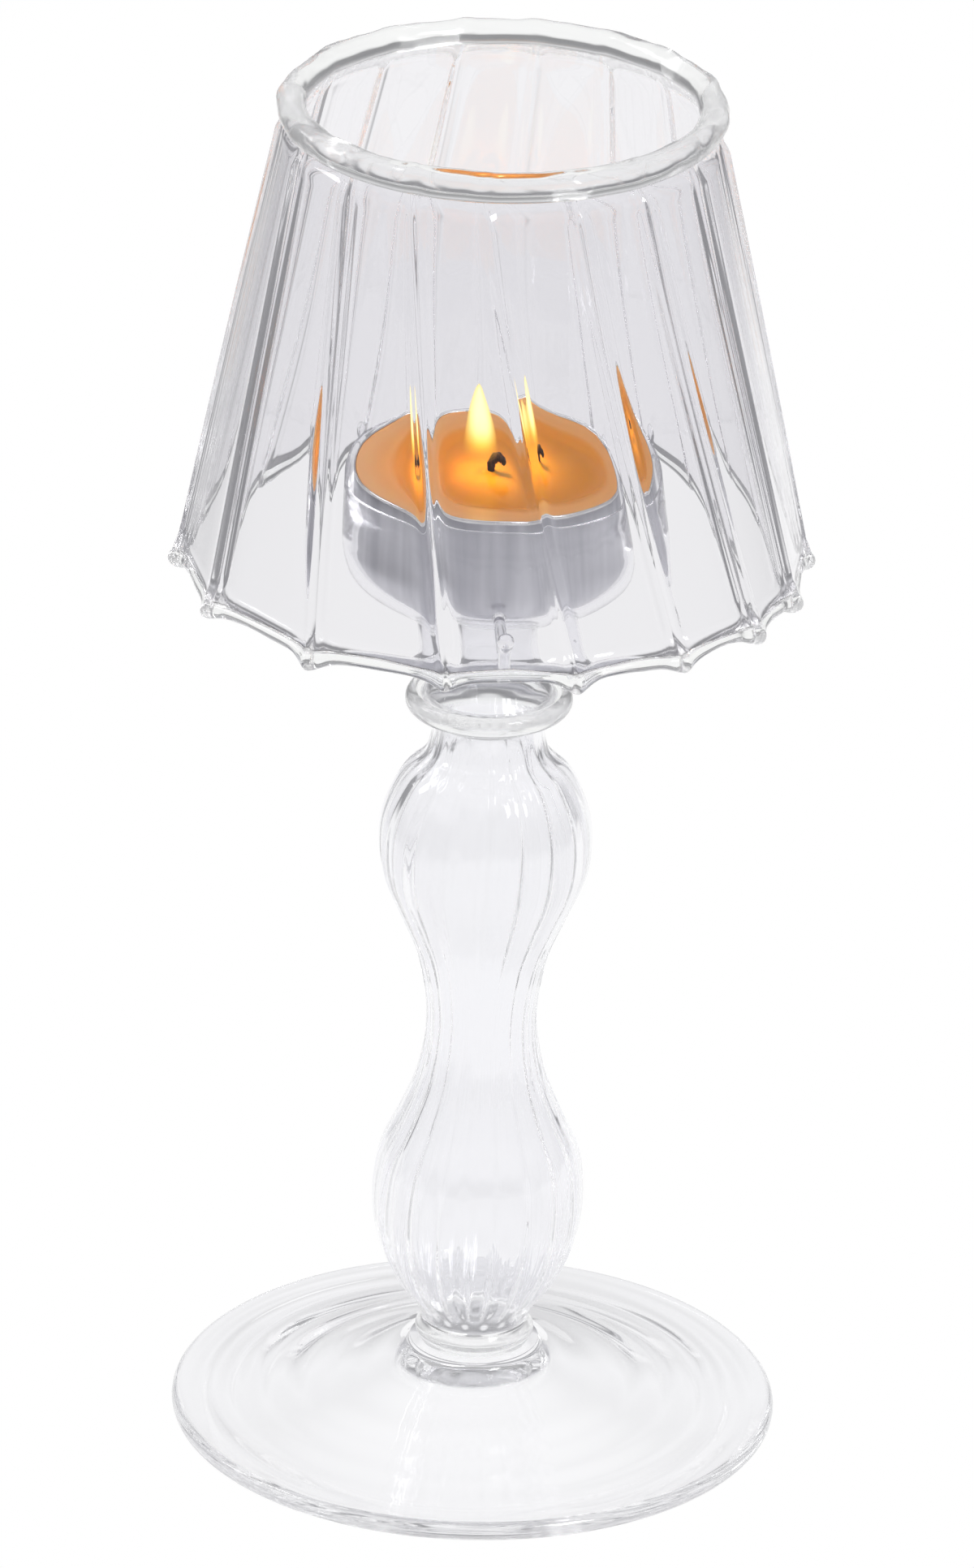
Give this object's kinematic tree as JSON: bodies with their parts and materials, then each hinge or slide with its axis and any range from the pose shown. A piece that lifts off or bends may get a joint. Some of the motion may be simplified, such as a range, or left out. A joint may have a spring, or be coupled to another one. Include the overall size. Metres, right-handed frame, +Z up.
{
  "type": "tealight holder",
  "caption": "Clear blown-glass tealight holder shaped like a small table lamp: round foot, double-bulb hollow stem, cup with a tealight, and a ribbed conical shade that lifts off.",
  "frame": {"origin": "centre of the foot's underside, on the surface it stands on", "axes": "+Z up along the stem's axis, -Y towards the front, +X to the right seen from the front"},
  "size_m": [0.085, 0.085, 0.1891],
  "materials": {
    "clear_glass": "clear, polished, nearly colourless",
    "ring_glass": "clear, thick, with a faint green-grey tint",
    "aluminium": "satin drawn foil with fine vertical marks",
    "tinplate": "plain tinplate",
    "wax": "lit from the flame: amber and translucent, with a melted pool",
    "wick": "braided cotton, charred at the top"
  },
  "bodies": {
    "base": {"foot": "clear_glass", "foot_ring": "ring_glass", "stem": "clear_glass", "collar": "ring_glass", "cup_neck": "clear_glass", "candle_cup": "clear_glass", "shade_arm_front": "clear_glass", "shade_arm_right": "clear_glass", "shade_arm_left": "clear_glass"},
    "tealight": {"tealight_can": "aluminium", "wax": "wax", "wick": "wick", "wick_sustainer": "tinplate"},
    "shade": {"shade_wall": "clear_glass", "shade_top_ring": "ring_glass", "shade_bottom_rim": "ring_glass", "shade_bead_01": "ring_glass", "shade_bead_02": "ring_glass", "shade_bead_03": "ring_glass", "shade_bead_04": "ring_glass", "shade_bead_05": "ring_glass", "shade_bead_06": "ring_glass", "shade_bead_07": "ring_glass", "shade_bead_08": "ring_glass", "shade_bead_09": "ring_glass", "shade_bead_10": "ring_glass", "shade_bead_11": "ring_glass", "shade_bead_12": "ring_glass", "shade_bead_13": "ring_glass", "shade_bead_14": "ring_glass", "shade_bead_15": "ring_glass", "shade_bead_16": "ring_glass"}
  },
  "joints": [
    {"name": "tealight_lift", "type": "slide", "parent": "base", "child": "tealight", "axis": [0, 0, 1], "range_m": [0, 0.07]},
    {"name": "shade_lift", "type": "slide", "parent": "base", "child": "shade", "axis": [0, 0, 1], "range_m": [0, 0.08]}
  ]
}
